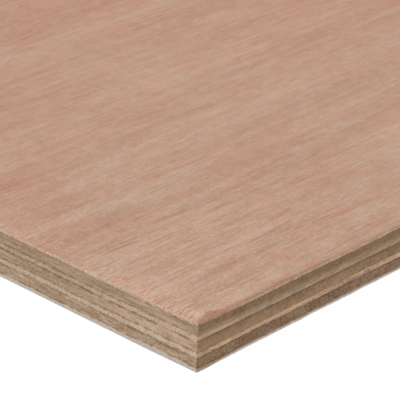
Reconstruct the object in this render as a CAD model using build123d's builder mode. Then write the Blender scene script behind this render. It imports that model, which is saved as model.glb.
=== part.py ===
"""Plywood sheet: seven hardwood veneers glued face to face with their grain crossed, then sawn to size.

X runs with the grain of the two outer veneers, Y runs across it, and Z is up from the underside.
The origin is the middle of the underside.
"""

import os

from build123d import *

# The trimmed panel, in millimetres
sheet_length = 2440.0
sheet_width = 1220.0

# What is left of each ply after pressing and sanding, from the face down to the back
face_veneer_thickness = 1.1
upper_crossband_thickness = 3.9
upper_long_band_thickness = 1.8
core_thickness = 3.9
lower_long_band_thickness = 2.0
lower_crossband_thickness = 3.7
back_veneer_thickness = 1.6

# The outer veneers' sharp arrises, taken off with a sanding block
arris_width = 0.4

# The glue lines: each ply lies on top of the one below it
back_glue_line = back_veneer_thickness
lower_crossband_glue_line = back_glue_line + lower_crossband_thickness
lower_long_band_glue_line = lower_crossband_glue_line + lower_long_band_thickness
core_glue_line = lower_long_band_glue_line + core_thickness
upper_long_band_glue_line = core_glue_line + upper_long_band_thickness
face_glue_line = upper_long_band_glue_line + upper_crossband_thickness

plies = []


# Back veneer: lies on the floor, with its grain along X
with BuildPart() as back_veneer:
    with BuildSketch(Plane.XY):
        Rectangle(sheet_length, sheet_width)
    extrude(amount=back_veneer_thickness)
    underside = back_veneer.faces().sort_by(Axis.Z)[0]
    chamfer(underside.edges(), length=arris_width)
back_veneer.part.label = "back_veneer"
plies.append(back_veneer.part)


# Inner plies from the bottom up: the core and crossbands have their grain along Y, the thin long bands along X
inner_plies = (
    ("lower_crossband", back_glue_line, lower_crossband_thickness),
    ("lower_long_band", lower_crossband_glue_line, lower_long_band_thickness),
    ("core", lower_long_band_glue_line, core_thickness),
    ("upper_long_band", core_glue_line, upper_long_band_thickness),
    ("upper_crossband", upper_long_band_glue_line, upper_crossband_thickness),
)
for ply_name, glue_line, ply_thickness in inner_plies:
    with BuildPart() as inner_ply:
        with BuildSketch(Plane.XY.offset(glue_line)):
            Rectangle(sheet_length, sheet_width)
        extrude(amount=ply_thickness)
    inner_ply.part.label = ply_name
    plies.append(inner_ply.part)


# Face veneer: the thin sanded show face, with its grain along X
with BuildPart() as face_veneer:
    with BuildSketch(Plane.XY.offset(face_glue_line)):
        Rectangle(sheet_length, sheet_width)
    extrude(amount=face_veneer_thickness)
    show_face = face_veneer.faces().sort_by(Axis.Z)[-1]
    chamfer(show_face.edges(), length=arris_width)
face_veneer.part.label = "face_veneer"
plies.append(face_veneer.part)


os.makedirs("parts", exist_ok=True)
for ply in plies:
    export_step(ply, f"parts/{ply.label}.step")
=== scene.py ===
import bpy
import math
from mathutils import Matrix, Vector, noise


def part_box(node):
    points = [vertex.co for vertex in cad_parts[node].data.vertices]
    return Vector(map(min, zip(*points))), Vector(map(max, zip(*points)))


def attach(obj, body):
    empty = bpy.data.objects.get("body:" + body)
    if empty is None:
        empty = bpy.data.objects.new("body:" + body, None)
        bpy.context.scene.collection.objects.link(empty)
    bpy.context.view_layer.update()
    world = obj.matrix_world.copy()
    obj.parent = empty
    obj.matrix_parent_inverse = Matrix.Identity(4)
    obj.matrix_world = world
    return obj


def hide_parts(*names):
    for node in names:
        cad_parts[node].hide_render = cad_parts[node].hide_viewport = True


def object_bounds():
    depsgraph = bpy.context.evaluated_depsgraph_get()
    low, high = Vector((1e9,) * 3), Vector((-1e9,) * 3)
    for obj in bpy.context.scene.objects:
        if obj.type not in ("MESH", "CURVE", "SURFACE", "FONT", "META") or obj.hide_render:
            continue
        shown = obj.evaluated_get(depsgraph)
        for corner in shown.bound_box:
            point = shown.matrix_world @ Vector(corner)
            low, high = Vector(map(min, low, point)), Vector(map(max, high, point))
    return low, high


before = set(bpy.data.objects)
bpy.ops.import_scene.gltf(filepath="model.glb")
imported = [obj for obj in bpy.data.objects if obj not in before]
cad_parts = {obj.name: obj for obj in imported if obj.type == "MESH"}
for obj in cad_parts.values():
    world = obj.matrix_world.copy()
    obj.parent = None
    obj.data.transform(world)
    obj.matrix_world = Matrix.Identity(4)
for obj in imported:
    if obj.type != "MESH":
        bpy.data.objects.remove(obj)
cadLow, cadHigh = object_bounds()
mm = 0.001

sheet = {
    "length": cadHigh.x - cadLow.x,
    "width": cadHigh.y - cadLow.y,
    "nearCorner": Vector((cadLow.x, cadLow.y, 0.0)),  # the corner that the camera looks at
}
edgeLength = 2 * (sheet["length"] + sheet["width"])
longEdges, ends = (0, 2), (1, 3)  # sides, counted round from the near corner
print("sheet", round(sheet["length"], 3), "x", round(sheet["width"], 3), "m")


# Walk round the sawn edge in columns, closest set at the near corner
edgeWalk = {
    "fineStep": 0.3 * mm,
    "fineReach": 112 * mm,  # along both edges from the near corner
    "cornerStep": 0.8 * mm,  # at the other three corners
    "coarseStep": 5 * mm,
    "spread": 0.06,  # how fast the steps grow
    "cornerReach": 8 * mm,  # columns this near a corner make room for the other edge's arris
}


def columnStep(fromNear, fromCorner):
    near = edgeWalk["fineStep"] + edgeWalk["spread"] * max(0.0, fromNear - edgeWalk["fineReach"])
    other = edgeWalk["cornerStep"] + edgeWalk["spread"] * fromCorner
    return min(near, other, edgeWalk["coarseStep"])


def walkSide(length, nearAt):
    places, along = [], 0.0
    while along < length:
        places.append(along)
        fromNear = abs(along - nearAt) if nearAt is not None else length
        along += columnStep(fromNear, min(along, length - along))
    return [place * length / along for place in places]


def walkSheetEdge():
    sides = [  # start, way, outward, length, where the near corner is
        ((cadLow.x, cadLow.y), (1, 0), (0, -1), sheet["length"], 0.0),
        ((cadHigh.x, cadLow.y), (0, 1), (1, 0), sheet["width"], None),
        ((cadHigh.x, cadHigh.y), (-1, 0), (0, 1), sheet["length"], None),
        ((cadLow.x, cadHigh.y), (0, -1), (-1, 0), sheet["width"], sheet["width"]),
    ]
    found, walked = [], 0.0
    for side, (start, way, out, length, nearAt) in enumerate(sides):
        for along in walkSide(length, nearAt):
            found.append({
                "point": Vector(start) + Vector(way) * along, "way": Vector(way), "out": Vector(out),
                "side": side,
                "share": along / length,
                "along": walked + along,
                "toStart": along, "toEnd": length - along,
                "fromNear": abs(along - nearAt) if nearAt is not None else length,
            })
        walked += length
    return found


columns = walkSheetEdge()
firstColumn = [min(k for k, column in enumerate(columns) if column["side"] == side) for side in range(4)]
print("edge columns", len(columns))


def ringPoints(insets, heights):  # one point a column, set in from the edge
    points = []
    for column, inset, z in zip(columns, insets, heights):
        side, reach = column["side"], edgeWalk["cornerReach"]
        before = insets[firstColumn[side] - 1] * max(0.0, 1 - column["toStart"] / reach)
        after = insets[firstColumn[(side + 1) % 4]] * max(0.0, 1 - column["toEnd"] / reach)
        flat = column["point"] + column["way"] * (before - after) - column["out"] * inset
        points.append((flat.x, flat.y, z))
    return points


# Flat faces: border panels round a plain grid
flatFace = {"border": 30 * mm, "alongCells": 40, "acrossCells": 20}


def stationColumns():
    cells = [flatFace["alongCells"], flatFace["acrossCells"]] * 2
    found = []
    for side in range(4):
        members = [k for k, column in enumerate(columns) if column["side"] == side]
        for cell in range(cells[side]):
            share = cell / cells[side]
            found.append(min(members, key=lambda k: abs(columns[k]["share"] - share)))
    return found


stations = stationColumns()


def closeFlat(verts, faces, ring, z, facingUp):
    nx, ny, border = flatFace["alongCells"], flatFace["acrossCells"], flatFace["border"]
    stepX, stepY = (sheet["length"] - 2 * border) / nx, (sheet["width"] - 2 * border) / ny
    start = len(verts)
    for j in range(ny + 1):
        for i in range(nx + 1):
            verts.append((cadLow.x + border + stepX * i, cadLow.y + border + stepY * j, z))

    def gridVert(i, j):
        return start + j * (nx + 1) + i

    inner = [gridVert(i, 0) for i in range(nx)] + [gridVert(nx, j) for j in range(ny)]
    inner += [gridVert(nx - i, ny) for i in range(nx)] + [gridVert(0, ny - j) for j in range(ny)]
    count = len(stations)
    made = []
    for k in range(count):
        after = (k + 1) % count
        first, last = stations[k], stations[after] or len(columns)
        outer = [ring[c % len(columns)] for c in range(first, last + 1)]
        made.append(outer + [inner[after], inner[k]])
    for i in range(nx):
        for j in range(ny):
            made.append([gridVert(i, j), gridVert(i + 1, j), gridVert(i + 1, j + 1), gridVert(i, j + 1)])
    faces.extend(made if facingUp else [face[::-1] for face in made])


# Sawn edges: what the saw and the veneer's grain leave
sawnEdge = {
    "rowStep": 0.32 * mm,
    "grooveDepth": 0.14 * mm,  # where two plies meet
    "grooveReach": 0.3 * mm,
    "groovePatch": 6 * mm,
    "grooveEven": 0.7, "grooveUneven": 0.6,  # shares of its depth
    "wave": 0.14 * mm,  # how far a glue line strays
    "waveLength": 24 * mm,
    "endRagged": 0.3 * mm,  # short waves of a glue line on the ends
    "longRagged": 0.13 * mm,
    "raggedLength": 1.7 * mm,
    "endGrainRelief": 0.06 * mm,
    "endGrainPitch": 1.0 * mm,
    "endGrainStretch": 1.0,
    "sideGrainRelief": 0.05 * mm,
    "sideGrainPitch": 0.6 * mm,
    "sideGrainStretch": 6.0,
    "reliefLift": 0.8,  # the relief cuts in and hardly stands out
    "cornerEase": 0.2 * mm,  # the upright corners are a little blunt
    "cornerEaseReach": 0.5 * mm,
    "creaseAngle": 40.0,
}

nearLong, nearEnd = longEdges[0], ends[1]
glueStrays = [  # glue line, side, then in mm: middle and reach from the near corner, rise
    (6, nearLong, 20, 20, -0.15),
    (6, nearLong, 70, 45, -0.15),
    (6, nearEnd, 28, 40, -0.5),
    (5, nearEnd, 6, 15, 0.4),
    (5, nearEnd, 45, 30, -0.25),
    (4, nearLong, 30, 80, 0.2),
    (4, nearEnd, 38, 60, -0.35),
    (3, nearLong, 7, 12, -0.2),
    (3, nearLong, 25, 60, -0.35),
    (3, nearEnd, 50, 30, -0.4),
    (2, nearLong, 22, 14, 0.15),
    (2, nearLong, 75, 50, -0.15),
    (2, nearEnd, 35, 35, -0.25),
    (1, nearLong, 9, 13, -0.4),
    (1, nearEnd, 16, 20, 0.5),
]


def strayHeight(glueLine, column):
    total = 0.0
    for line, side, middle, reach, rise in glueStrays:
        if line == glueLine and side == column["side"]:
            away = min(1.0, abs(column["fromNear"] - middle * mm) / (reach * mm))
            total += rise * mm * (1 - away * away) ** 2
    return total


def edgeNoise(along, height, pitch, stretch, seed):
    radius = edgeLength / math.tau / (pitch * stretch)
    turn = math.tau * along / edgeLength  # a circle, so that the walk's end meets its start
    return noise.noise(Vector((math.cos(turn) * radius + seed, math.sin(turn) * radius, height / pitch)))


noiseSeeds = {  # added to a ply's own
    "eachGlueLine": 10.0, "waveLength": 0.0, "raggedLength": 7.3, "groovePatch": 3.1, "arrisPatch": 11,
    "arrisFray": 17, "endFrayPitch": 5, "rubbedPatch": 21, "rubbedFray": 23,
}


def unevenness(column, look, key, seed):  # along the edge only, in waves of the length under the key
    return edgeNoise(column["along"], 0.0, look[key], 1.0, seed + noiseSeeds[key])


def glueLineHeights(z, glueLine):
    seed, heights = noiseSeeds["eachGlueLine"] * glueLine, []
    for column in columns:
        wave = unevenness(column, sawnEdge, "waveLength", seed) * sawnEdge["wave"]
        short = unevenness(column, sawnEdge, "raggedLength", seed)
        short *= sawnEdge["endRagged" if column["side"] in ends else "longRagged"]
        heights.append(z + wave + short + strayHeight(glueLine, column))
    return heights


def sawnInsets(height, plyHeight, grainSides, seed):
    nearest = min(height, plyHeight - height)
    deepest = max(0.0, 1.0 - nearest / sawnEdge["grooveReach"]) * sawnEdge["grooveDepth"]
    insets = []
    for column in columns:
        fromCorner = min(column["toStart"], column["toEnd"])
        blunt = sawnEdge["cornerEase"] * math.exp(-fromCorner / sawnEdge["cornerEaseReach"])
        patchy = sawnEdge["grooveUneven"] * unevenness(column, sawnEdge, "groovePatch", seed)
        groove = deepest * (sawnEdge["grooveEven"] + patchy)
        cut = "sideGrain" if column["side"] in grainSides else "endGrain"  # along the grain or across it
        rough = edgeNoise(column["along"], height, sawnEdge[cut + "Pitch"], sawnEdge[cut + "Stretch"], seed)
        insets.append(blunt + groove + (rough + sawnEdge["reliefLift"]) * sawnEdge[cut + "Relief"])
    return insets


def makeRing(insets, heights, upPly, wear=None):
    points = ringPoints(insets, heights)
    return {"points": points, "upPly": [upPly] * len(points), "wear": wear or [0.0] * len(points)}


def innerPlyRings(lowZ, topZ, grainSides, glueLines, seed):
    plyHeight = topZ - lowZ
    rows = round(plyHeight / sawnEdge["rowStep"])
    low, top = glueLineHeights(lowZ, glueLines[0]), glueLineHeights(topZ, glueLines[1])
    rings = []
    for row in range(rows + 1):
        share = row / rows
        upPly = plyHeight * share
        heights = [a + (b - a) * share for a, b in zip(low, top)]
        rings.append(makeRing(sawnInsets(upPly, plyHeight, grainSides, seed), heights, upPly))
    return rings


# Two maps: plyCoords is metres along the edge and up the ply, OFBake lays the piece out for baking
bakeMap = {
    "strips": 16, "stripMargin": 0.015, "stripGap": 0.12,  # the sawn edge, in strips one over the other
    "shownCap": 0.86, "hiddenCap": 0.02, "capMargin": 0.004,  # the flat faces, as shares of the map
}


def addMaps(mesh, edgeFaces, ringCount, upPly, plyHeight, shownCap):
    count, strips = len(columns), bakeMap["strips"]
    stripLength = edgeLength / strips
    capShare = bakeMap["shownCap"] if shownCap else 0.0
    edgeShare = 1.0 - capShare - 2 * bakeMap["hiddenCap"]
    coords, bake = [], []
    for index, face in enumerate(mesh.polygons):
        column = index % count
        strip = int(columns[column]["along"] / stripLength)
        for corner, vertex in enumerate(face.vertices):
            if index < edgeFaces:
                ahead = column + (corner in (1, 2))
                along = columns[ahead]["along"] if ahead < count else edgeLength
                ring = index // count + (corner > 1)
                across = bakeMap["stripGap"] + (1 - 2 * bakeMap["stripGap"]) * ring / (ringCount - 1)
                inStrip = along / stripLength - strip
                coords += (along, upPly[vertex])
                bake += (bakeMap["stripMargin"] + (1 - 2 * bakeMap["stripMargin"]) * inStrip,
                         capShare + edgeShare * (strip + across) / strips)
            else:
                co = mesh.vertices[vertex].co
                shareX = (co.x - cadLow.x) / sheet["length"]
                shareY = (co.y - cadLow.y) / sheet["width"]
                up = face.normal.z > 0
                shown = shownCap == ("top" if up else "low")
                base = 0.0 if shown else 1.0 - bakeMap["hiddenCap"] * (1 if up else 2)
                span = capShare if shown else bakeMap["hiddenCap"]
                inside = 1 - 2 * bakeMap["capMargin"]
                coords += (0.0, plyHeight / 2)
                bake += (bakeMap["capMargin"] + inside * shareX,
                         base + span * (bakeMap["capMargin"] + inside * shareY))
    mesh.uv_layers.new(name="plyCoords").data.foreach_set("uv", coords)
    mesh.uv_layers.new(name="OFBake").data.foreach_set("uv", bake)
    mesh.uv_layers["plyCoords"].active_render = True


def addObject(name, data):
    added = bpy.data.objects.new(name, data)
    bpy.context.scene.collection.objects.link(added)
    return added


def buildPly(name, rings, lowZ, topZ, shownCap=None):
    verts = [point for ring in rings for point in ring["points"]]  # from the lowest ring up
    upPly = [height for ring in rings for height in ring["upPly"]]
    wear = [amount for ring in rings for amount in ring["wear"]]
    count, faces = len(columns), []
    for r in range(len(rings) - 1):
        for k in range(count):
            after = (k + 1) % count
            faces.append([r * count + k, r * count + after, (r + 1) * count + after, (r + 1) * count + k])
    edgeFaces = len(faces)
    lastRing = (len(rings) - 1) * count
    closeFlat(verts, faces, range(lastRing, lastRing + count), topZ, True)
    closeFlat(verts, faces, range(count), lowZ, False)
    mesh = bpy.data.meshes.new(name)
    mesh.from_pydata(verts, [], faces)
    wear += [0.0] * (len(verts) - len(wear))
    mesh.attributes.new("wear", "FLOAT", "POINT").data.foreach_set("value", wear)
    addMaps(mesh, edgeFaces, len(rings), upPly, topZ - lowZ, shownCap)
    mesh.shade_smooth()
    mesh.set_sharp_from_angle(angle=math.radians(sawnEdge["creaseAngle"]))
    return addObject(name, mesh)


# Shader helpers
def makeNode(tree, kind, inputs=None, **settings):
    node = tree.nodes.new("ShaderNode" + kind)
    for key, value in settings.items():
        setattr(node, key, value)
    for key, value in (inputs or {}).items():
        if isinstance(value, bpy.types.NodeSocket):
            tree.links.new(value, node.inputs[key])
        else:
            node.inputs[key].default_value = value
    return node


def maths(tree, operation, a, b=0.0, clamp=False):
    return makeNode(tree, "Math", {0: a, 1: b}, operation=operation, use_clamp=clamp).outputs[0]


def times(tree, a, b):
    return maths(tree, "MULTIPLY", a, b)


def ease(tree, value, start, end, low=0.0, high=1.0):
    limits = {"Value": value, "From Min": start, "From Max": end, "To Min": low, "To Max": high}
    return makeNode(tree, "MapRange", limits, interpolation_type="SMOOTHSTEP").outputs["Result"]


def vectorMaths(tree, operation, a, b):
    return makeNode(tree, "VectorMath", {0: a, 1: b}, operation=operation).outputs[0]


def turnFlat(tree, vector, angle):  # about the upright axis
    given = {"Vector": vector, "Angle": angle}
    return makeNode(tree, "VectorRotate", given, rotation_type="Z_AXIS").outputs[0]


def between(tree, share, a, b):
    return makeNode(tree, "Mix", {0: share, 2: a, 3: b}, data_type="FLOAT").outputs[0]


def mixColour(tree, share, a, b, blend="MIX"):
    return makeNode(tree, "Mix", {0: share, 6: a, 7: b}, data_type="RGBA", blend_type=blend).outputs[2]


def tint(red, green, blue):  # a colour as a screen shows it, made linear
    shares = [v / 255 for v in (red, green, blue)]
    return tuple(v / 12.92 if v <= 0.04045 else ((v + 0.055) / 1.055) ** 2.4 for v in shares) + (1.0,)


def newGroup(name, inputs, outputs):
    tree = bpy.data.node_groups.new(name, "ShaderNodeTree")
    for label, kind in inputs:
        tree.interface.new_socket(label, in_out="INPUT", socket_type="NodeSocket" + kind)
    for label, kind in outputs:
        tree.interface.new_socket(label, in_out="OUTPUT", socket_type="NodeSocket" + kind)
    return tree, tree.nodes.new("NodeGroupInput").outputs, tree.nodes.new("NodeGroupOutput").inputs


def useGroup(tree, group, inputs):
    return makeNode(tree, "Group", inputs, node_tree=group).outputs[0]


def addShare(tree, total, value, weight):
    return maths(tree, "ADD", times(tree, value, weight), total)


def addUp(tree, start, parts):  # noises about one half, each with its weight
    total = start
    for value, weight in parts:
        total = addShare(tree, total, maths(tree, "SUBTRACT", value, 0.5), weight)
    return total


# Grain: noise drawn out along X, in metres
grainWander = [  # waves a metre along X, Y and Z, and how far the grain strays
    ((2.2, 7.0, 7.0), 12 * mm),
    ((15.0, 40.0, 40.0), 2.5 * mm),
]


def makeGrainNoise():
    tree, given, result = newGroup(
        "grainNoise",
        [("Vector", "Vector"), ("Length", "Float"), ("Width", "Float"), ("Detail", "Float"),
         ("Roughness", "Float"), ("Seed", "Float")],
        [("Value", "Float")])
    split = makeNode(tree, "SeparateXYZ", {0: given["Vector"]}).outputs
    across = split["Y"]
    for waves, reach in grainWander:
        slow = makeNode(tree, "Mapping", {"Vector": given["Vector"], "Scale": waves}).outputs[0]
        drift = makeNode(tree, "TexNoise", {"Vector": slow, "Scale": 1.0, "Detail": 1.0}).outputs[0]
        across = addUp(tree, across, [(drift, reach)])
    stretched = makeNode(tree, "CombineXYZ", {
        "X": maths(tree, "DIVIDE", split["X"], given["Length"]),
        "Y": maths(tree, "ADD", maths(tree, "DIVIDE", across, given["Width"]), given["Seed"]),
        "Z": maths(tree, "DIVIDE", split["Z"], given["Width"]),
    }).outputs[0]
    value = makeNode(tree, "TexNoise", {"Vector": stretched, "Scale": 1.0, "Detail": given["Detail"],
                                        "Roughness": given["Roughness"]})
    tree.links.new(value.outputs[0], result["Value"])
    return tree


grainNoise = makeGrainNoise()


def grain(tree, vector, length, width, detail=1.0, roughness=0.6, seed=0.0):
    return useGroup(tree, grainNoise, {"Vector": vector, "Length": length * mm, "Width": width * mm,
                                       "Detail": detail, "Roughness": roughness, "Seed": seed})


# Pores: short dark dashes along the grain
poreLook = {
    "dash": (6, 0.5, 0.0), "crowd": (30, 7, 2.0),  # length and width in mm, detail
    "crowdWeight": 0.6, "level": (0.58, 0.78),
}


def makePoreDashes():
    tree, given, result = newGroup(
        "poreDashes", [("Vector", "Vector"), ("Amount", "Float")], [("Mask", "Float")])
    dashes, crowd = (grain(tree, given["Vector"], *poreLook[key]) for key in ("dash", "crowd"))
    level = addUp(tree, dashes, [(crowd, poreLook["crowdWeight"])])
    mask = ease(tree, maths(tree, "ADD", level, given["Amount"]), *poreLook["level"])
    tree.links.new(mask, result["Mask"])
    return tree


poreDashes = makePoreDashes()


# Glue seams: dark, more or less broken, along a ply's upper and lower side
seamLook = {
    "dash": 2.8 * mm, "detail": 3.0, "roughness": 0.65,
    "lineSpread": 13.7,  # each glue line has its own dashes, the same in both plies
    "gaps": (0.40, 0.58),
    "uneven": (0.35, 0.65, 0.5, 1.2),  # from the thin places to the thick ones
    "fade": (1.0, 0.3),  # shares of the thickness
}


def makeGlueSeams():
    tree, given, result = newGroup(
        "glueSeams",
        [("Coords", "Vector"), ("Ply Height", "Float"), ("Thickness", "Float"), ("Broken", "Float"),
         ("Upper", "Float"), ("Upper Line", "Float"), ("Lower", "Float"), ("Lower Line", "Float")],
        [("Mask", "Float")])
    split = makeNode(tree, "SeparateXYZ", {0: given["Coords"]}).outputs
    parts = []
    for side in ("Lower", "Upper"):
        run = makeNode(tree, "CombineXYZ", {
            "X": maths(tree, "DIVIDE", split["X"], seamLook["dash"]),
            "Y": times(tree, given[side + " Line"], seamLook["lineSpread"]),
        }).outputs[0]
        noisy = makeNode(tree, "TexNoise", {"Vector": run, "Scale": 1.0, "Detail": seamLook["detail"],
                                            "Roughness": seamLook["roughness"]}).outputs[0]
        dash = between(tree, given["Broken"], 1.0, ease(tree, noisy, *seamLook["gaps"]))
        away = split["Y"] if side == "Lower" else maths(tree, "SUBTRACT", given["Ply Height"], split["Y"])
        reach = times(tree, given["Thickness"], ease(tree, noisy, *seamLook["uneven"]))
        near = ease(tree, maths(tree, "DIVIDE", away, reach), *seamLook["fade"])
        parts.append(times(tree, times(tree, near, given[side]), dash))
    tree.links.new(maths(tree, "MAXIMUM", parts[0], parts[1]), result["Mask"])
    return tree


glueSeams = makeGlueSeams()


# Soft patches: broad lighter or darker places on the face and the sawn edges
def makeSoftPatch():
    tree, given, result = newGroup(
        "softPatch", [("Vector", "Vector"), ("Middle", "Vector"), ("Reach", "Vector"), ("Turn", "Float")],
        [("Mask", "Float")])
    turned = turnFlat(tree, vectorMaths(tree, "SUBTRACT", given["Vector"], given["Middle"]), given["Turn"])
    shares = vectorMaths(tree, "DIVIDE", turned, given["Reach"])
    away = makeNode(tree, "VectorMath", {0: shares}, operation="LENGTH").outputs["Value"]
    tree.links.new(ease(tree, away, 1.0, 0.0), result["Mask"])
    return tree


softPatch = makeSoftPatch()
print("shader groups", [group.name for group in bpy.data.node_groups])


def startMaterial(name):
    material = bpy.data.materials.new(name)
    material.use_nodes = True
    tree = material.node_tree
    place = makeNode(tree, "TexCoord").outputs
    facing = makeNode(tree, "SeparateXYZ", {0: place["Normal"]}).outputs
    coords = makeNode(tree, "UVMap", uv_map="plyCoords").outputs[0]
    return material, tree, tree.nodes["Principled BSDF"], place["Object"], facing, coords


def crossed(tree, vector):  # swaps X and Y, for a ply whose grain runs across the sheet
    split = makeNode(tree, "SeparateXYZ", {0: vector}).outputs
    return makeNode(tree, "CombineXYZ", {"X": split["Y"], "Y": split["X"], "Z": split["Z"]}).outputs[0]


patchDepth = {"face": 9.0, "edge": 3.0}  # mm into the wood


def makePatch(middle, reach, tone, red, turn=0.0):
    return {"middle": middle, "reach": reach, "tone": tone, "red": red, "turn": turn}


def onFace(along, across, reachAlong, reachAcross, tone, red=0.0, turn=0.0):  # in mm from the near corner
    reach = (reachAlong, reachAcross, patchDepth["face"])
    return makePatch((along, across, cadHigh.z / mm), reach, tone, red, turn)


def onLong(along, up, reachAlong, reachUp, tone, red=0.0):  # the same on the near long edge
    return makePatch((along, 0.0, up), (reachAlong, patchDepth["edge"], reachUp), tone, red)


def onEnd(across, up, reachAcross, reachUp, tone, red=0.0):  # and on the near end
    return makePatch((0.0, across, up), (patchDepth["edge"], reachAcross, reachUp), tone, red)


def tonePatches(tree, vector, patches):
    total = {"tone": 0.0, "red": 0.0}
    for patch in patches:
        mask = useGroup(tree, softPatch, {
            "Vector": vector, "Middle": sheet["nearCorner"] + Vector(patch["middle"]) * mm,
            "Reach": Vector(patch["reach"]) * mm, "Turn": math.radians(patch["turn"])})
        for key in total:
            total[key] = addShare(tree, total[key], mask, patch[key])
    return total["tone"], total["red"]


# What the two kinds of edge have in common: base colours by height, seams
woodShade = {
    "dark": (0.62, 0.57, 0.51, 1.0), "pale": (1.38, 1.43, 1.49, 1.0),
    "ramp": (0.08, 0.92),  # where low turns into top, unless the ply says
}


def edgeColour(tree, look, coords, plyHeight, onEnds):
    height = makeNode(tree, "SeparateXYZ", {0: coords}).outputs["Y"]
    shown = []
    for edge in ("longs", "ends"):
        start, end = look[edge].get("ramp", woodShade["ramp"])
        share = ease(tree, height, start * plyHeight, end * plyHeight)
        shown.append(mixColour(tree, share, tint(*look[edge]["low"]), tint(*look[edge]["top"])))
    return mixColour(tree, onEnds, shown[0], shown[1])


def edgeSeams(tree, look, coords, plyHeight, onEnds):
    def by(key):
        return between(tree, onEnds, look["longs"][key], look["ends"][key])
    return useGroup(tree, glueSeams, {
        "Coords": coords, "Ply Height": plyHeight, "Thickness": look["seam"] * mm, "Broken": by("broken"),
        "Upper": by("seamTop"), "Lower": by("seamLow"),
        "Upper Line": look["glueLines"][1], "Lower Line": look["glueLines"][0]})


def finishWood(tree, shader, colour, height, fibre, look):
    bump = makeNode(tree, "Bump", {"Height": height, "Strength": look["bump"],
                                   "Distance": look["bumpDepth"]})
    tree.links.new(colour, shader.inputs["Base Color"])
    tree.links.new(bump.outputs[0], shader.inputs["Normal"])
    tree.links.new(ease(tree, fibre, *look["roughness"]), shader.inputs["Roughness"])
    shader.inputs["Specular IOR Level"].default_value = look["shine"]


# An inner ply, seen only on its sawn edges
innerGrain = {
    "noises": {  # length and width in mm, detail, roughness, seed
        "fibre": (1.5, 0.45, 1.0, 0.6, 0),
        "streak": (14, 0.7, 2.0, 0.7, 3),
        "mottle": (9, 1.5, 2.0, 0.7, 5),
        "cloud": (45, 8, 1.0, 0.5, 9),
        "hue": (10, 2.5, 2.0, 0.7, 13),
    },
    "weights": {"fine": {"fibre": 1.2, "streak": 1.3}, "coarse": {"mottle": 1.0, "cloud": 0.8}},
    "grey": (0.98, 1.02, 1.03, 1.0), "warm": (1.02, 0.98, 0.97, 1.0), "hueShare": 3.1,
    "endFacing": (0.5, 0.7),  # how squarely an end faces along X
    "relief": {"fibre": 0.8, "streak": 0.5}, "seamDepth": 0.4, "bump": 0.6, "bumpDepth": 0.15 * mm,
    "roughness": (0.3, 0.7, 0.75, 0.92), "shine": 0.2,
}


def innerPlyMaterial(name, look, plyHeight):
    material, tree, shader, vector, facing, coords = startMaterial(name)
    alongGrain = vector if look["grain"] == "long" else crossed(tree, vector)
    onEnds = ease(tree, maths(tree, "ABSOLUTE", facing["X"]), *innerGrain["endFacing"])
    noises = {}
    for key, (length, width, detail, roughness, seed) in innerGrain["noises"].items():
        noises[key] = grain(tree, alongGrain, length, width, detail, roughness, look["seed"] + seed)
    tone = 0.0
    for kind, weights in innerGrain["weights"].items():
        gain = between(tree, onEnds, look["longs"][kind], look["ends"][kind])
        part = addUp(tree, 0.0, [(noises[key], weight) for key, weight in weights.items()])
        tone = addShare(tree, tone, part, gain)
    patchTone, patchRed = tonePatches(tree, vector, look["patches"])
    tone = maths(tree, "ADD", tone, maths(tree, "ADD", patchTone, 0.5), clamp=True)
    shade = mixColour(tree, tone, woodShade["dark"], woodShade["pale"])
    colour = mixColour(tree, 1.0, edgeColour(tree, look, coords, plyHeight, onEnds), shade, "MULTIPLY")
    warmth = addUp(tree, maths(tree, "ADD", patchRed, 0.5), [(noises["hue"], innerGrain["hueShare"])])
    hue = mixColour(tree, warmth, innerGrain["grey"], innerGrain["warm"])
    colour = mixColour(tree, 1.0, colour, hue, "MULTIPLY")
    seams = edgeSeams(tree, look, coords, plyHeight, onEnds)
    colour = mixColour(tree, seams, colour, tint(*look["glue"]))
    height = addUp(tree, 0.5, [(noises[key], weight) for key, weight in innerGrain["relief"].items()])
    height = addShare(tree, height, seams, -innerGrain["seamDepth"])
    finishWood(tree, shader, colour, height, noises["fibre"], innerGrain)
    return material


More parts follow.
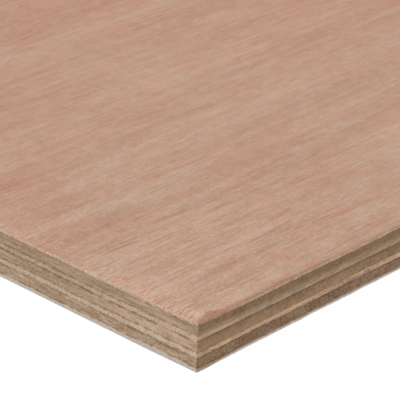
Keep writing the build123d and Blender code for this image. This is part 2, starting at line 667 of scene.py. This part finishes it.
# The two outer veneers
outerGrain = {
    "noises": {  # length and width in mm, detail, roughness, seed
        "bands": (400, 14, 0.0, 0.5, 0),
        "nearBands": (300, 12, 0.0, 0.5, 37),
        "streaks": (45, 3.0, 1.5, 0.7, 23),
        "fibre": (14, 1.1, 1.0, 0.6, 31),
        "speckle": (0.8, 0.8, 1.0, 0.6, 47),
        "mottle": (9, 7, 4.0, 0.9, 59),
        "figure": (1400, 100, 1.0, 0.6, 5),
        "redBands": (120, 9, 3.0, 0.8, 77),
        "redMottle": (9, 8, 4.0, 0.9, 93),
        "redSpeckle": (0.6, 0.8, 1.0, 0.6, 101),
        "edgeSpeck": (3, 0.8, 2.0, 0.7, 13),
        "scuffs": (1.0, 0.9, 2.0, 0.8, 19),
        "tears": (4.5, 0.75, 1.0, 0.5, 71),
        "clouds": (260, 70, 1.5, 0.6, 41),
        "redClouds": (260, 80, 1.5, 0.6, 53),
    },
    "tone": ("bands", "streaks", "mottle", "figure"),
    "fine": ("nearBands", "fibre", "speckle"),  # these fade away from the near corner
    "red": ("redBands", "redMottle", "redSpeckle"),
    "weights": {"streaks": 0.56, "mottle": 0.8, "fibre": 0.28, "speckle": 1.1,
                "redBands": 1.0, "redMottle": 1.9, "redSpeckle": 1.0},  # each veneer adds its own
    "tan": (0.94, 1.045, 1.035, 1.0), "redWood": (1.06, 0.955, 0.955, 1.0),
    "lines": [  # length and width in mm, seed, what the line does to the colour
        (30, 0.75, 61, (0.69, 0.62, 0.57, 1.0)),
        (17, 0.65, 67, (0.76, 0.53, 0.46, 1.0)),
        (15, 0.55, 83, (0.72, 0.66, 0.62, 1.0)),
        # the pale line: paler fibres with a painted highlight along them
        (14, 0.7, 89, (1.10, 1.09, 1.09, 1.0)),
    ],
    "lineStrength": 0.9, "lineLevel": (0.65, 0.73),
    "lineCrowd": (90, 8, 2.0, 0.7), "lineCrowdSeed": 3, "lineCrowdLevel": (0.42, 0.60),
    "lineBreaks": (0.3, 0.6, 0.4, 1.0),  # from the faint places to the whole ones
    "torn": (0.83, 0.63, 0.57, 1.0), "tearLevel": (0.5, 0.7), "tearReach": 12 * mm, "tearFull": 2 * mm,
    "tornPale": 0.14, "tornRed": 0.12,
    "tearTurn": 9.0,  # by the sawn ends the fibres tear out a little askew
    "porousReach": 200 * mm,  # the near corner is rougher than the rest
    "patchReach": 520 * mm,  # clouds take over from the patches this far from the near corner
    "cloudWeight": 0.4, "cloudFade": (0.0, 0.5, 1.0, 0.0),
    "flatFacing": (0.5, 0.75), "endFacing": (0.45, 0.75),  # how squarely it faces its way
    "wornLevel": (0.1, 0.9),
    "relief": {"fibre": 0.5, "speckle": 0.3, "bands": 0.4}, "dentDepth": 0.5,
    "bump": 0.35, "bumpDepth": 0.08 * mm, "roughness": (0.3, 0.7, 0.6, 0.75), "shine": 0.25,
}


def grainLines(tree, vector, speckle, length, width, seed):  # thin lines in loose groups, a little broken
    fine = ease(tree, grain(tree, vector, length, width, 0.0, 0.5, seed), *outerGrain["lineLevel"])
    crowd = grain(tree, vector, *outerGrain["lineCrowd"], seed + outerGrain["lineCrowdSeed"])
    gathered = times(tree, fine, ease(tree, crowd, *outerGrain["lineCrowdLevel"]))
    return times(tree, gathered, ease(tree, speckle, *outerGrain["lineBreaks"]))


def outerFace(tree, vector, look, noises):
    weights = {**outerGrain["weights"], **look["weights"]}

    def weighed(kind):
        return [(noises[key], weights[key]) for key in outerGrain[kind]]

    def aroundCorner(reach):  # height hardly counts
        return useGroup(tree, softPatch, {"Vector": vector, "Middle": sheet["nearCorner"], "Turn": 0.0,
                                          "Reach": Vector((1, 1, 10)) * reach})

    patchTone, patchRed = tonePatches(tree, vector, look["patches"])
    along = maths(tree, "ABSOLUTE", makeNode(tree, "SeparateXYZ", {0: vector}).outputs["X"])
    end = sheet["length"] / 2
    torn = ease(tree, along, end - outerGrain["tearReach"], end - outerGrain["tearFull"])
    porous = between(tree, aroundCorner(outerGrain["porousReach"]), look["smooth"], 1.0)
    away = ease(tree, aroundCorner(outerGrain["patchReach"]), *outerGrain["cloudFade"])
    clouds = addUp(tree, 0.0, [(noises["clouds"], outerGrain["cloudWeight"])])
    redClouds = addUp(tree, 0.0, [(noises["redClouds"], outerGrain["cloudWeight"])])
    tone = addUp(tree, maths(tree, "ADD", patchTone, look["level"]), weighed("tone"))
    tone = addShare(tree, tone, clouds, away)
    tone = addShare(tree, tone, addUp(tree, 0.0, weighed("fine")), porous)
    tone = maths(tree, "MAXIMUM", addShare(tree, tone, torn, outerGrain["tornPale"]), 0.0)
    redness = addUp(tree, maths(tree, "ADD", patchRed, look["redLevel"]), weighed("red"))
    redness = addShare(tree, redness, torn, outerGrain["tornRed"])
    redness = addShare(tree, redness, redClouds, away)
    face = mixColour(tree, tone, tint(*look["faceDark"]), tint(*look["facePale"]))
    hue = mixColour(tree, redness, outerGrain["tan"], outerGrain["redWood"])
    face = mixColour(tree, 1.0, face, hue, "MULTIPLY")
    dents = 0.0
    for length, width, seed, change in outerGrain["lines"]:
        line = times(tree, grainLines(tree, vector, noises["speckle"], length, width, seed), porous)
        shown = times(tree, line, outerGrain["lineStrength"])
        face = mixColour(tree, shown, face, change, "MULTIPLY")
        dents = maths(tree, "MAXIMUM", dents, line)
    dashes = useGroup(tree, poreDashes, {"Vector": vector, "Amount": look["poreAmount"]})
    dashes = times(tree, dashes, look["pores"])
    face = mixColour(tree, dashes, face, tint(*look["pore"]))
    tears = ease(tree, noises["tears"], *outerGrain["tearLevel"])
    tears = times(tree, tears, times(tree, torn, porous))
    face = mixColour(tree, times(tree, tears, look["tears"]), face, outerGrain["torn"], "MULTIPLY")
    dents = maths(tree, "MAXIMUM", dents, maths(tree, "MAXIMUM", dashes, tears))
    return face, dents


def outerVeneerMaterial(name, look, plyHeight):
    material, tree, shader, vector, facing, coords = startMaterial(name)
    flat = ease(tree, maths(tree, "ABSOLUTE", facing["Z"]), *outerGrain["flatFacing"])
    onEnds = ease(tree, maths(tree, "ABSOLUTE", facing["X"]), *outerGrain["endFacing"])
    wear = makeNode(tree, "Attribute", attribute_name="wear").outputs["Fac"]
    askew = turnFlat(tree, vector, math.radians(-outerGrain["tearTurn"]))
    noises = {}
    for key, given in outerGrain["noises"].items():
        noises[key] = grain(tree, askew if key == "tears" else vector, *given)
    face, dents = outerFace(tree, vector, look, noises)
    speck = addUp(tree, 0.5, [(noises["edgeSpeck"], look["edgeSpeck"]),
                              (noises["speckle"], look["edgeSpeck"] / 2)])
    shade = mixColour(tree, speck, woodShade["dark"], woodShade["pale"])
    edge = mixColour(tree, 1.0, edgeColour(tree, look, coords, plyHeight, onEnds), shade, "MULTIPLY")
    edge = mixColour(tree, edgeSeams(tree, look, coords, plyHeight, onEnds), edge, tint(*look["glue"]))
    colour = mixColour(tree, flat, edge, face)
    scuffs = maths(tree, "MAXIMUM", addUp(tree, 0.5, [(noises["scuffs"], look["scuffs"])]), 0.0)
    scuffed = mixColour(tree, scuffs, woodShade["dark"], woodShade["pale"])
    rubbed = mixColour(tree, 1.0, tint(*look["worn"]), scuffed, "MULTIPLY")
    worn = ease(tree, addUp(tree, wear, [(noises["scuffs"], look["wornRagged"])]), *outerGrain["wornLevel"])
    colour = mixColour(tree, times(tree, worn, look["wear"]), colour, rubbed)
    height = addUp(tree, 0.5, [(noises[key], weight) for key, weight in outerGrain["relief"].items()])
    height = addShare(tree, height, dents, -outerGrain["dentDepth"])
    finishWood(tree, shader, colour, height, noises["fibre"], outerGrain)
    return material


def finishPly(piece, material, node):
    piece.data.materials.append(material)
    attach(piece, "root")
    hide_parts(node)
    print(piece.name, len(piece.data.vertices), "points")


# Face veneer: thin and sanded, its long arrises rubbed round, most of all by the near corner
faceVeneer = {
    "edgeRows": 4, "arrisRings": 4, "seed": 1.7,
    "endArris": 0.25 * mm, "endDrop": 0.22 * mm,
    "endFray": 0.2 * mm,  # torn fibre tips on the two ends
    "endFrayPitch": 1.1 * mm,
    "longArris": 0.8 * mm, "longDrop": 0.3 * mm,
    "arrisPatch": 6 * mm, "arrisEven": 0.8, "arrisUneven": 0.5,
    "rubbedArris": 1.9 * mm, "rubbedDrop": 0.6 * mm,  # by the near corner
    "rubbedMiddle": 6.2 * mm, "rubbedReach": 6.6 * mm,
    "rubbedPatch": 3.5 * mm, "rubbedUneven": 0.7, "rubbedFray": 1.2 * mm, "rubbedFrayed": 0.4,
    "rubbedTail": 0.32, "rubbedTailReach": 18 * mm,  # it dies away along the long edge
    "flatRing": 1.4 * mm,
    "glueLines": (6, 7), "seam": 0.5,
    "level": 0.485, "redLevel": 0.475,
    "faceDark": (174, 124, 101), "facePale": (206, 178, 155),
    "weights": {"bands": 0.32, "nearBands": 0.36, "figure": 0.4}, "smooth": 0.22,
    "patches": [
        onFace(6, 22, 14, 27, 0.2, 0.18),
        onFace(3, 5, 7, 11, 0.44, 0.08),
        onFace(28, 4, 32, 7, 0.26, 0.12),
        onFace(64, 74, 55, 18, 0.13, -0.08),
        onFace(18, 105, 42, 26, -0.16, 0.16),
        onFace(180, 226, 170, 54, -0.19, 0.16),
        onFace(270, 152, 210, 48, -0.17, 0.2),
        onFace(75, 155, 70, 60, -0.14, 0.1, turn=20),
        onFace(106, 46, 75, 26, -0.17),
        onFace(165, 76, 60, 15, 0.12),
    ],
    "pore": (158, 108, 84), "poreAmount": 0.0, "pores": 0.3, "tears": 1.0,
    "ends": {"top": (192, 165, 142), "low": (180, 153, 129), "broken": 0.8, "seamTop": 0.0, "seamLow": 0.4},
    "longs": {"top": (198, 164, 136), "low": (196, 163, 136), "broken": 0.2, "seamTop": 0.0, "seamLow": 0.1},
    "glue": (124, 104, 84),
    "edgeSpeck": 1.9, "worn": (165, 118, 92), "wear": 0.88, "scuffs": 4.2, "wornRagged": 1.6,
    "rubbedWear": 0.8, "bareGain": 2.4,  # where it is rubbed most, the edge below is bare too
    "farWear": 0.54, "redLine": 0.36, "redLineMiddle": 40 * mm, "redLineReach": 18 * mm,
}


def bell(distance, reach):  # one in the middle, dying away on both sides
    share = distance / reach
    return math.exp(-share * share)


def faceArris(column):  # its width, drop and wear, and how bare the edge below is
    look, seed = faceVeneer, faceVeneer["seed"]
    patch = look["arrisEven"] + look["arrisUneven"] * unevenness(column, look, "arrisPatch", seed)
    if column["side"] in ends:
        fray = max(0.0, unevenness(column, look, "endFrayPitch", seed) * look["endFray"])
        return look["endArris"] * patch + fray, look["endDrop"] * patch + fray, 0.0, 0.0
    fromRubbed = column["fromNear"] - look["rubbedMiddle"]
    tail = look["rubbedTail"] * bell(fromRubbed, look["rubbedTailReach"])
    rubbed = max(bell(fromRubbed, look["rubbedReach"]), tail)
    ragged = 1.0 + look["rubbedUneven"] * unevenness(column, look, "rubbedPatch", seed)
    ragged += look["rubbedFrayed"] * unevenness(column, look, "rubbedFray", seed)
    width = look["longArris"] * patch + look["rubbedArris"] * rubbed * ragged
    drop = look["longDrop"] * patch + look["rubbedDrop"] * rubbed
    redLine = look["redLine"] * bell(column["fromNear"] - look["redLineMiddle"], look["redLineReach"])
    far = look["farWear"] + redLine
    return width, drop, far + (look["rubbedWear"] - far) * rubbed, min(1.0, look["bareGain"] * rubbed)


def faceRings(lowZ, topZ):
    plyHeight, seed = topZ - lowZ, faceVeneer["seed"]
    edgeRows, arrisRings = faceVeneer["edgeRows"], faceVeneer["arrisRings"]
    low = glueLineHeights(lowZ, faceVeneer["glueLines"][0])
    widths, drops, wear, bare = zip(*[faceArris(column) for column in columns])
    rings = []
    for row in range(edgeRows):
        share = row / edgeRows
        upPly = plyHeight * share
        heights = [a + (topZ - drop - a) * share for a, drop in zip(low, drops)]
        rings.append(makeRing(sawnInsets(upPly, plyHeight, longEdges, seed), heights, upPly, bare))
    base = sawnInsets(plyHeight / 2, plyHeight, longEdges, seed)
    for step in range(arrisRings + 1):
        turn = math.pi / 2 * step / arrisRings
        insets = [a + width * (1 - math.cos(turn)) for a, width in zip(base, widths)]
        heights = [topZ - drop * (1 - math.sin(turn)) for drop in drops]
        rings.append(makeRing(insets, heights, plyHeight, wear if step else bare))
    insets = [a + width + faceVeneer["flatRing"] for a, width in zip(base, widths)]
    rings.append(makeRing(insets, [topZ] * len(columns), plyHeight))
    return rings


def makeFaceVeneer():
    low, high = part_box("face_veneer")
    piece = buildPly("faceVeneerPly", faceRings(low.z, high.z), low.z, high.z, "top")
    wood = outerVeneerMaterial("sandedFaceVeneer", faceVeneer, high.z - low.z)
    finishPly(piece, wood, "face_veneer")


# Back veneer: plainer, its lower arris chipped along the long edges
backVeneer = {
    "edgeRows": 5, "arrisRings": 3, "seed": 2.9,
    "endArris": 0.03 * mm,
    "longArris": 0.06 * mm, "chip": 0.5 * mm, "chipWidth": 1.5,
    "wholeReach": 11 * mm, "wholeShare": 0.5,  # the near corner is still whole on the long edge
    "endChip": 0.4 * mm, "endChipReach": 22 * mm,  # and chipped on the end
    "arrisPatch": 9 * mm, "arrisEven": 0.8, "arrisUneven": 0.5, "arrisFray": 1.8 * mm, "arrisFrayed": 0.3,
    "flatRing": 1.2 * mm,
    "glueLines": (0, 1), "seam": 0.5,
    "level": 0.5, "redLevel": 0.5,
    "faceDark": (166, 126, 103), "facePale": (203, 173, 151),
    "weights": {"bands": 0.3, "nearBands": 0.5, "figure": 0.5}, "smooth": 0.6,
    "patches": [],
    "pore": (156, 114, 90), "poreAmount": 0.02, "pores": 0.35, "tears": 0.7,
    # Its pale greyish edge colours, palest low on the long edges, are painted light bounced up from the pale
    # floor
    "ends": {"top": (188, 172, 156), "low": (191, 177, 163), "broken": 0.6, "seamTop": 0.6, "seamLow": 0.0},
    "longs": {"top": (186, 158, 134), "low": (228, 212, 196), "ramp": (0.25, 0.6), "broken": 0.4,
              "seamTop": 0.7, "seamLow": 0.0},
    "glue": (112, 88, 68),
    "edgeSpeck": 1.0, "worn": (186, 146, 114), "wear": 0.7, "scuffs": 2.0, "wornRagged": 0.6,
}


def backArris(column):  # its drop, and how whole the edge above is
    look, seed = backVeneer, backVeneer["seed"]
    patch = look["arrisEven"] + look["arrisUneven"] * unevenness(column, look, "arrisPatch", seed)
    patch += look["arrisFrayed"] * unevenness(column, look, "arrisFray", seed)
    if column["side"] in ends:
        chipped = max(0.0, 1.0 - column["fromNear"] / look["endChipReach"])
        return look["endArris"] * patch + look["endChip"] * chipped, 0.0
    broken = min(1.0, max(0.0, column["fromNear"] / look["wholeReach"] - look["wholeShare"]))
    return (look["longArris"] + look["chip"] * broken) * patch, 1.0 - broken


def backRings(lowZ, topZ):
    plyHeight, seed = topZ - lowZ, backVeneer["seed"]
    edgeRows, arrisRings = backVeneer["edgeRows"], backVeneer["arrisRings"]
    top = glueLineHeights(topZ, backVeneer["glueLines"][1])
    drops, whole = zip(*[backArris(column) for column in columns])
    widths = [drop * backVeneer["chipWidth"] for drop in drops]
    base = sawnInsets(plyHeight / 2, plyHeight, longEdges, seed)
    insets = [a + width + backVeneer["flatRing"] for a, width in zip(base, widths)]
    rings = [makeRing(insets, [lowZ] * len(columns), 0.0)]
    for step in range(arrisRings):
        turn = math.pi / 2 * step / arrisRings
        insets = [a + width * (1 - math.sin(turn)) for a, width in zip(base, widths)]
        heights = [lowZ + drop * (1 - math.cos(turn)) for drop in drops]
        rings.append(makeRing(insets, heights, 0.0))
    for row in range(edgeRows + 1):
        share = row / edgeRows
        insets = sawnInsets(plyHeight / 2 * (1 + share), plyHeight, longEdges, seed)
        heights = [lowZ + drop + (b - lowZ - drop) * share for b, drop in zip(top, drops)]
        # where the long edge is still whole by the near corner, the worn colour mostly covers that painted
        # bounce light
        rings.append(makeRing(insets, heights, plyHeight * share, whole))
    return rings


def makeBackVeneer():
    low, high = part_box("back_veneer")
    piece = buildPly("backVeneerPly", backRings(low.z, high.z), low.z, high.z, "low")
    wood = outerVeneerMaterial("plainBackVeneer", backVeneer, high.z - low.z)
    finishPly(piece, wood, "back_veneer")


# The five inner plies, from the face down
upperCrossband = {
    "node": "upper_crossband", "piece": "upperCrossbandPly", "slot": "crossband", "grain": "cross",
    "glueLines": (5, 6), "seed": 3.3, "seam": 0.6, "glue": (116, 92, 70),
    "patches": [
        onLong(2, 14.5, 6, 4, -0.08), onLong(13, 14, 16, 1.4, 0.2),
        onEnd(6, 16, 11, 1.2, -0.35), onEnd(8, 14, 9, 1.4, 0.5), onEnd(25, 15.6, 13, 1.2, 0.45),
    ],
    "ends": {"top": (160, 134, 110), "low": (159, 132, 107), "fine": 1.1, "coarse": 0.7, "broken": 0.85,
             "seamTop": 0.3, "seamLow": 0.75},
    "longs": {"top": (142, 113, 86), "low": (167, 139, 111), "ramp": (0.0, 0.5), "fine": 0.75, "coarse": 1.0,
              "broken": 0.3, "seamTop": 0.2, "seamLow": 0.0},
}
upperLongBand = {
    "node": "upper_long_band", "piece": "upperLongBandPly", "slot": "long_band", "grain": "long",
    "glueLines": (4, 5), "seed": 4.1, "seam": 0.5, "glue": (116, 91, 68),
    "patches": [onLong(8, 12.3, 22, 5, 0.33, 1.0), onEnd(1, 12, 13, 5, 0.3)],
    "ends": {"top": (176, 152, 129), "low": (176, 152, 129), "fine": 1.15, "coarse": 1.0, "broken": 0.8,
             "seamTop": 0.5, "seamLow": 0.7},
    "longs": {"top": (175, 148, 122), "low": (182, 155, 130), "fine": 0.95, "coarse": 0.6, "broken": 0.1,
              "seamTop": 0.0, "seamLow": 0.8},
}
core = {
    "node": "core", "piece": "corePly", "slot": "crossband", "grain": "cross",
    "glueLines": (3, 4), "seed": 5.7, "seam": 0.8, "glue": (116, 91, 68),
    # the broad onEnd patch makes the near end lighter towards the near corner
    "patches": [onEnd(8, 9, 55, 9, 0.11), onEnd(1, 9.5, 5, 2, -0.25), onLong(5, 7.8, 11, 1.3, -0.2)],
    "ends": {"top": (168, 141, 117), "low": (172, 144, 119), "fine": 1.1, "coarse": 0.7, "broken": 0.85,
             "seamTop": 0.7, "seamLow": 0.6},
    "longs": {"top": (152, 121, 91), "low": (166, 134, 103), "fine": 0.9, "coarse": 0.9, "broken": 0.1,
              "seamTop": 0.6, "seamLow": 0.1},
}
lowerLongBand = {
    "node": "lower_long_band", "piece": "lowerLongBandPly", "slot": "long_band", "grain": "long",
    "glueLines": (2, 3), "seed": 6.9, "seam": 0.5, "glue": (114, 89, 66),
    # the broad onEnd patch makes the near end lighter towards the near corner
    "patches": [onLong(11, 6, 8, 5, 0.3), onLong(28, 6, 16, 5, -0.15), onEnd(0, 6, 80, 9, 0.06)],
    "ends": {"top": (185, 163, 140), "low": (187, 165, 142), "fine": 0.9, "coarse": 0.55, "broken": 0.8,
             "seamTop": 0.5, "seamLow": 0.5},
    "longs": {"top": (200, 167, 138), "low": (191, 159, 132), "fine": 1.4, "coarse": 1.05, "broken": 0.3,
              "seamTop": 0.0, "seamLow": 0.6},
}
lowerCrossband = {
    "node": "lower_crossband", "piece": "lowerCrossbandPly", "slot": "crossband", "grain": "cross",
    "glueLines": (1, 2), "seed": 8.3, "seam": 0.6, "glue": (108, 84, 64),
    "patches": [
        onLong(9, 3.4, 14, 2.6, 0.35, -0.3),
        onEnd(6, 2.3, 6, 0.9, -0.5), onEnd(10, 3.4, 11, 0.9, 0.2), onEnd(13, 4.5, 10, 0.9, -0.45),
    ],
    "ends": {"top": (165, 139, 116), "low": (171, 145, 121), "fine": 1.5, "coarse": 0.8, "broken": 0.85,
             "seamTop": 0.4, "seamLow": 0.5},
    "longs": {"top": (146, 116, 90), "low": (149, 120, 94), "fine": 1.5, "coarse": 1.6, "broken": 0.3,
              "seamTop": 0.4, "seamLow": 0.2},
}


def makeInnerPly(look):
    low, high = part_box(look["node"])
    grainSides = longEdges if look["grain"] == "long" else ends
    rings = innerPlyRings(low.z, high.z, grainSides, look["glueLines"], look["seed"])
    piece = buildPly(look["piece"], rings, low.z, high.z)
    wood = innerPlyMaterial(look["piece"] + "Wood", look, high.z - low.z)
    finishPly(piece, wood, look["node"])


makeFaceVeneer()
for innerPly in (upperCrossband, upperLongBand, core, lowerLongBand, lowerCrossband):
    makeInnerPly(innerPly)
makeBackVeneer()


# Floor: pale, white to the camera but for the sheet's shadow
floorLook = {"halfSize": 150.0, "pale": 0.8, "shown": 0.9, "shadowShare": 0.06, "glow": 1.02}


def backgroundRays(tree):
    path = makeNode(tree, "LightPath").outputs
    seen = maths(tree, "ADD", path["Is Camera Ray"], path["Is Glossy Ray"], clamp=True)
    return maths(tree, "ADD", seen, path["Is Transmission Ray"], clamp=True)


def makeFloor():
    half = floorLook["halfSize"]
    mesh = bpy.data.meshes.new("studioFloor")
    corners = [(-half, -half, 0), (half, -half, 0), (half, half, 0), (-half, half, 0)]
    mesh.from_pydata(corners, [], [(0, 1, 2, 3)])
    floor = addObject("studioFloor", mesh)
    material = bpy.data.materials.new("paleFloor")
    material.use_nodes = True
    tree = material.node_tree
    tree.nodes.remove(tree.nodes["Principled BSDF"])
    pale, shown = floorLook["pale"], floorLook["shown"]
    lit = makeNode(tree, "BsdfDiffuse", {"Color": (pale, pale, pale, 1)}).outputs[0]
    shade = makeNode(tree, "BsdfDiffuse", {"Color": (shown, shown, shown, 1)}).outputs[0]
    white = makeNode(tree, "Emission", {"Color": (1, 1, 1, 1), "Strength": floorLook["glow"]}).outputs[0]
    toCamera = makeNode(tree, "MixShader", {0: floorLook["shadowShare"], 1: white, 2: shade}).outputs[0]
    both = makeNode(tree, "MixShader", {0: backgroundRays(tree), 1: lit, 2: toCamera}).outputs[0]
    tree.links.new(both, tree.nodes["Material Output"].inputs["Surface"])
    mesh.materials.append(material)


# Light: an even pale room and one broad soft lamp from the upper left
studioLight = {"room": 0.7, "lamp": 1.25, "lampSpread": 40.0, "lampFrom": (-0.75, 0.12, 0.8)}


def makeLight():
    world = bpy.data.worlds.new("paleRoom")
    bpy.context.scene.world = world
    world.use_nodes = True
    tree = world.node_tree
    room = tree.nodes["Background"]
    room.inputs["Color"].default_value = (1, 1, 1, 1)
    room.inputs["Strength"].default_value = studioLight["room"]
    white = makeNode(tree, "Background", {"Color": (1, 1, 1, 1), "Strength": 1.0}).outputs[0]
    both = makeNode(tree, "MixShader", {0: backgroundRays(tree), 1: room.outputs[0], 2: white}).outputs[0]
    tree.links.new(both, tree.nodes["World Output"].inputs["Surface"])
    lamp = bpy.data.lights.new("broadLamp", "SUN")
    lamp.energy = studioLight["lamp"]
    lamp.angle = math.radians(studioLight["lampSpread"])
    holder = addObject("broadLamp", lamp)
    holder.rotation_euler = Vector(studioLight["lampFrom"]).to_track_quat("Z", "Y").to_euler()


# Camera: close over the near corner, a long lens
cameraLook = {
    "aimAlong": 66.9 * mm, "aimAcross": 60.6 * mm,  # from the near corner, on the face
    "distance": 840.1 * mm,
    "azimuth": -48.647, "elevation": 25.729, "roll": 2.611,
    "lens": 216.0, "sensor": 36.0,
}


def makeCamera():
    data = bpy.data.cameras.new("cornerCamera")
    data.lens, data.sensor_width = cameraLook["lens"], cameraLook["sensor"]
    camera = addObject("cornerCamera", data)
    aim = sheet["nearCorner"] + Vector((cameraLook["aimAlong"], cameraLook["aimAcross"], cadHigh.z))
    turn = Matrix.Rotation(math.radians(cameraLook["azimuth"]), 4, "Z")
    turn @= Matrix.Rotation(math.radians(90 - cameraLook["elevation"]), 4, "X")
    turn @= Matrix.Rotation(math.radians(cameraLook["roll"]), 4, "Z")
    back = Matrix.Translation((0, 0, cameraLook["distance"]))
    camera.matrix_world = Matrix.Translation(aim) @ turn @ back
    bpy.context.scene.camera = camera


makeFloor()
makeLight()
makeCamera()
bpy.context.scene.view_settings.view_transform = "Standard"
print("stage, light and camera set")
